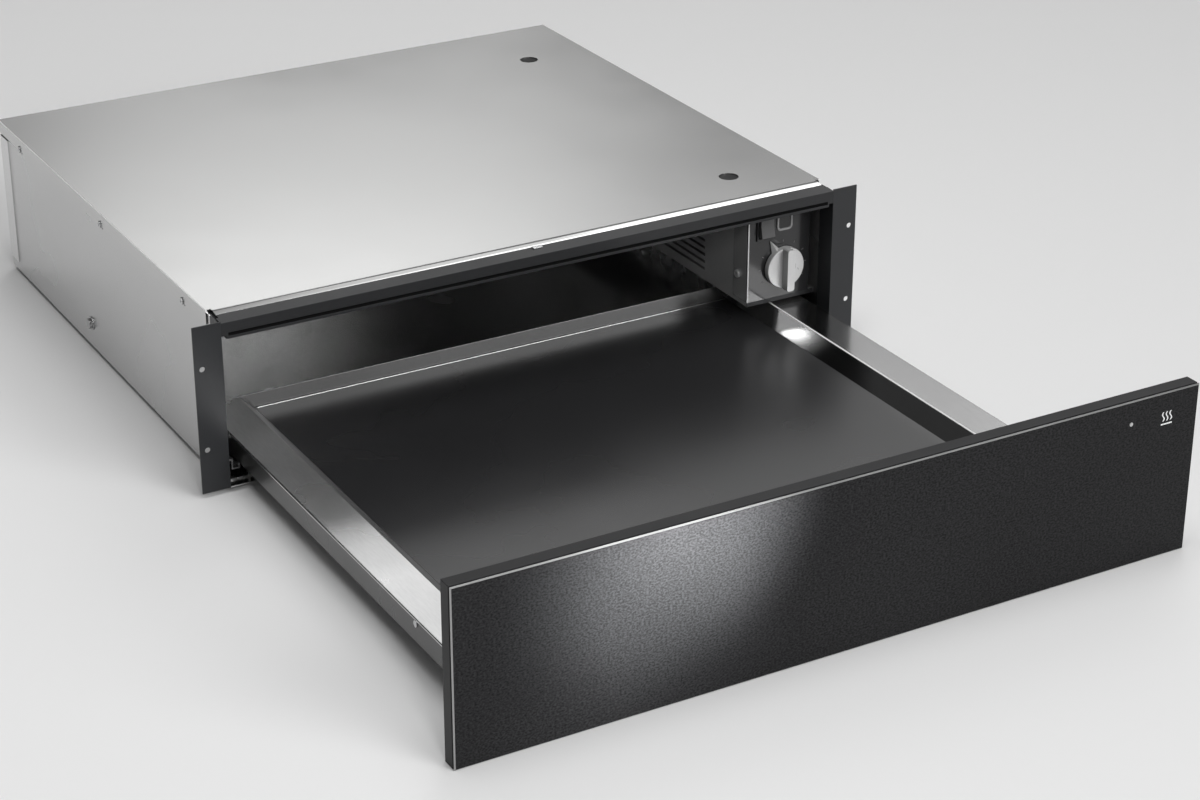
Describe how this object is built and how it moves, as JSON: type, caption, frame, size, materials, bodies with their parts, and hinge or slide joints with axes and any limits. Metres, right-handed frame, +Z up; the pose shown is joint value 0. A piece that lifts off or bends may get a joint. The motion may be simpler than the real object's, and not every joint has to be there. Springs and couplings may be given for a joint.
{
  "type": "built-in warming drawer",
  "caption": "Low built-in warming drawer for a kitchen niche: sheet housing, pull-out tray on telescopic runners, fan heater with louvred duct, knob, rocker switch and pilot lamp.",
  "frame": {"origin": "middle of the base's underside, in the plane of the back face of the mounting flanges (the niche front)", "axes": "+X right seen from the front, +Y to the back along the drawer's travel, +Z up"},
  "size_m": [0.594, 0.9328, 0.142],
  "materials": {
    "cover_steel": "fine satin sheet",
    "dark_enamel": "anthracite satin enamel",
    "fibre_board": "pressed mineral fibre",
    "zinc_steel": "bright zinc",
    "dark_steel": "dark scaled steel",
    "black_plastic": "fine matt",
    "smoked_lens": "smooth",
    "white_plastic": "smooth satin",
    "clear_lens": "smooth",
    "front_steel": "dark fine grain",
    "black_rubber": "matt",
    "mat_rubber": "dark satin",
    "drawer_steel": "satin sheet",
    "silver_knob": "satin",
    "brass_cage": "bright"
  },
  "bodies": {
    "cabinet": {"base_pan": "dark_enamel", "side_panel_left": "cover_steel", "side_panel_right": "cover_steel", "rear_panel": "cover_steel", "top_cover": "cover_steel", "front_top_rail": "dark_enamel", "flange_left": "dark_enamel", "flange_right": "dark_enamel", "inner_roof": "cover_steel", "roof_insulation": "fibre_board", "duct_wall": "cover_steel", "control_panel": "dark_enamel", "thermostat_body": "zinc_steel", "switch_housing": "black_plastic", "lamp_bezel": "black_plastic", "lamp_lens": "smoked_lens", "blower_housing": "zinc_steel", "motor_stator": "dark_steel", "motor_brackets": "zinc_steel", "heater_element": "dark_steel", "heater_brackets": "zinc_steel", "thermal_cutout": "black_plastic", "terminal_block": "white_plastic", "cable_gland": "black_plastic", "runner_left": "zinc_steel", "runner_right": "zinc_steel", "runner_bolts": "dark_steel", "cover_screws": "zinc_steel", "control_screw": "zinc_steel", "rail_clip": "zinc_steel", "latch_housing": "black_plastic"},
    "drawer": {"front_panel": "front_steel", "panel_seal": "black_rubber", "panel_carrier": "drawer_steel", "panel_core": "fibre_board", "heat_symbol": "white_plastic", "indicator_lens": "clear_lens", "tray_base": "drawer_steel", "tray_mat": "mat_rubber", "side_rail_left": "drawer_steel", "side_rail_right": "drawer_steel", "back_wall": "drawer_steel", "drawer_runner_left": "zinc_steel", "drawer_runner_right": "zinc_steel", "latch_striker": "zinc_steel", "front_bumpers": "black_rubber", "front_brackets": "zinc_steel", "rail_rivets": "zinc_steel"},
    "middle_left": {"runner_middle_left": "zinc_steel"},
    "middle_right": {"runner_middle_right": "zinc_steel"},
    "lower_balls_left": {"lower_cage_left": "brass_cage"},
    "lower_balls_right": {"lower_cage_right": "brass_cage"},
    "upper_balls_left": {"upper_cage_left": "brass_cage"},
    "upper_balls_right": {"upper_cage_right": "brass_cage"},
    "knob": {"temperature_knob": "silver_knob", "thermostat_shaft": "zinc_steel"},
    "rocker": {"switch_rocker": "black_plastic"},
    "fan": {"fan_wheel": "white_plastic", "fan_rotor": "zinc_steel"},
    "plunger": {"latch_plunger": "white_plastic"}
  },
  "joints": [
    {"name": "drawer_slide", "type": "slide", "parent": "cabinet", "child": "drawer", "axis": [0, -1, 0], "range_m": [-0.408, 0]},
    {"name": "middle_slide_left", "type": "slide", "parent": "cabinet", "child": "middle_left", "axis": [0, -1, 0], "range_m": [-0.204, 0]},
    {"name": "middle_slide_right", "type": "slide", "parent": "cabinet", "child": "middle_right", "axis": [0, -1, 0], "range_m": [-0.204, 0]},
    {"name": "lower_roll_left", "type": "slide", "parent": "cabinet", "child": "lower_balls_left", "axis": [0, -1, 0], "range_m": [-0.102, 0]},
    {"name": "lower_roll_right", "type": "slide", "parent": "cabinet", "child": "lower_balls_right", "axis": [0, -1, 0], "range_m": [-0.102, 0]},
    {"name": "upper_roll_left", "type": "slide", "parent": "cabinet", "child": "upper_balls_left", "axis": [0, -1, 0], "range_m": [-0.306, 0]},
    {"name": "upper_roll_right", "type": "slide", "parent": "cabinet", "child": "upper_balls_right", "axis": [0, -1, 0], "range_m": [-0.306, 0]},
    {"name": "knob_turn", "type": "hinge", "parent": "cabinet", "child": "knob", "pos_m": [0.2395, 0.0171, 0.0674], "axis": [0, 1, 0], "range_deg": [0, 290]},
    {"name": "switch_rock", "type": "hinge", "parent": "cabinet", "child": "rocker", "pos_m": [0.2211, 0.0271, 0.1072], "axis": [1, 0, 0], "range_deg": [0, 12]},
    {"name": "fan_spin", "type": "hinge", "parent": "cabinet", "child": "fan", "pos_m": [0.223, 0.33, 0.08], "axis": [1, 0, 0], "continuous": true},
    {"name": "latch_push", "type": "slide", "parent": "cabinet", "child": "plunger", "axis": [0, 1, 0], "range_m": [0, 0.004], "stiffness_N_per_m": 200}
  ],
  "couplings": [
    {"joint": "middle_slide_left", "follows": "drawer_slide", "ratio": 0.5},
    {"joint": "middle_slide_right", "follows": "drawer_slide", "ratio": 0.5},
    {"joint": "lower_roll_left", "follows": "drawer_slide", "ratio": 0.25},
    {"joint": "lower_roll_right", "follows": "drawer_slide", "ratio": 0.25},
    {"joint": "upper_roll_left", "follows": "drawer_slide", "ratio": 0.75},
    {"joint": "upper_roll_right", "follows": "drawer_slide", "ratio": 0.75}
  ]
}
